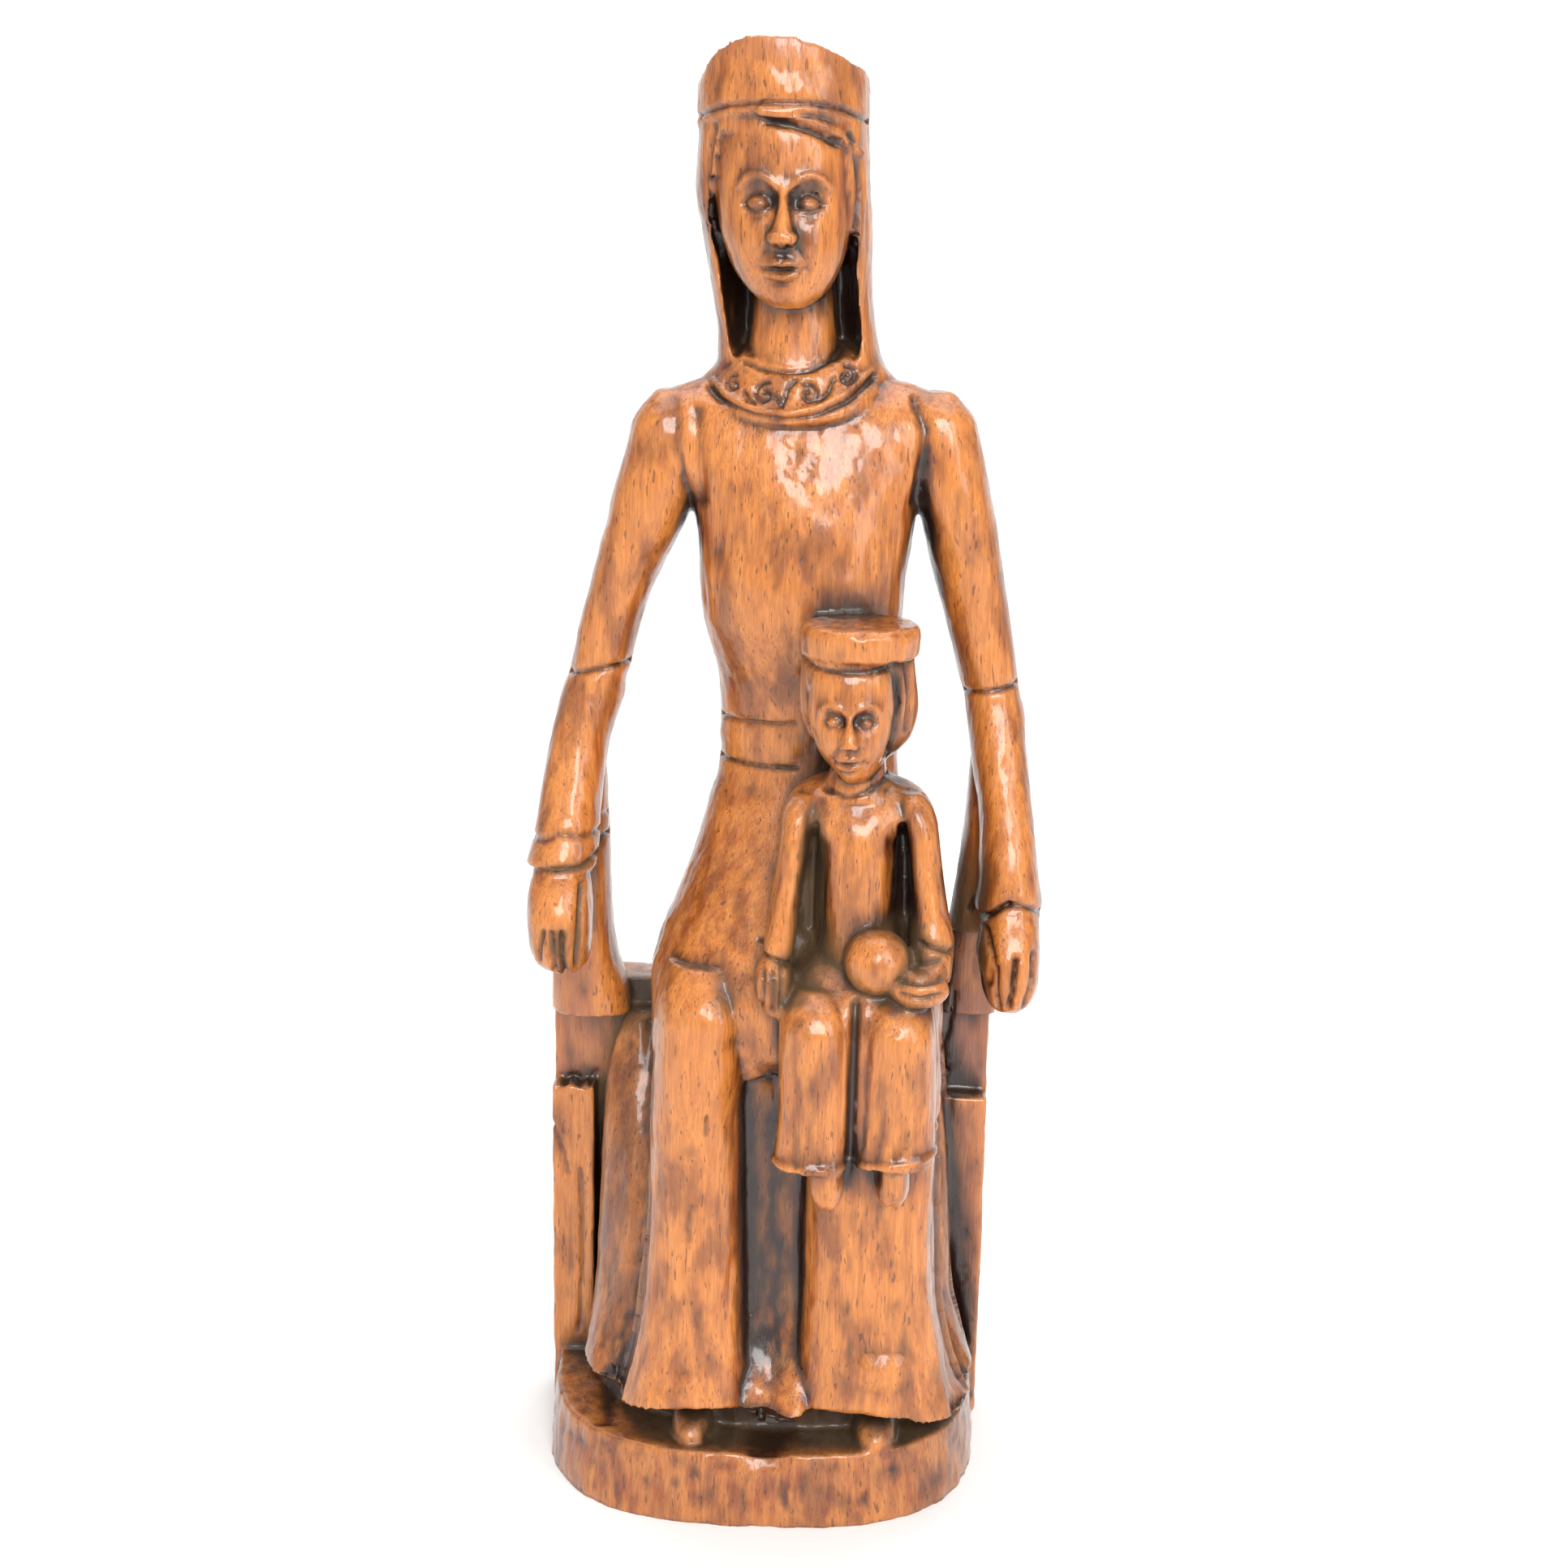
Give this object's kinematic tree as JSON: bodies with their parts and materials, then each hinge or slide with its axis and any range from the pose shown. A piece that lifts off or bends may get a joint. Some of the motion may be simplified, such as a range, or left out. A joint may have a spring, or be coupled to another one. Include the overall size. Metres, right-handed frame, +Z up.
{
  "type": "madonna and child statue",
  "caption": "Slender carved wooden madonna with a worn crown, seated on a low throne on a rounded plinth, with the child on one knee holding an orb.",
  "frame": {"origin": "middle of the plinth's width on its flat underside", "axes": "+Z up, the front of the statue faces -Y, +X to the right as seen from in front"},
  "size_m": [0.1138, 0.0714, 0.3212],
  "materials": {
    "carved_wood": "stained and varnished, worn on the high places"
  },
  "bodies": {
    "root": {"madonna_and_child": "carved_wood"}
  },
  "joints": []
}
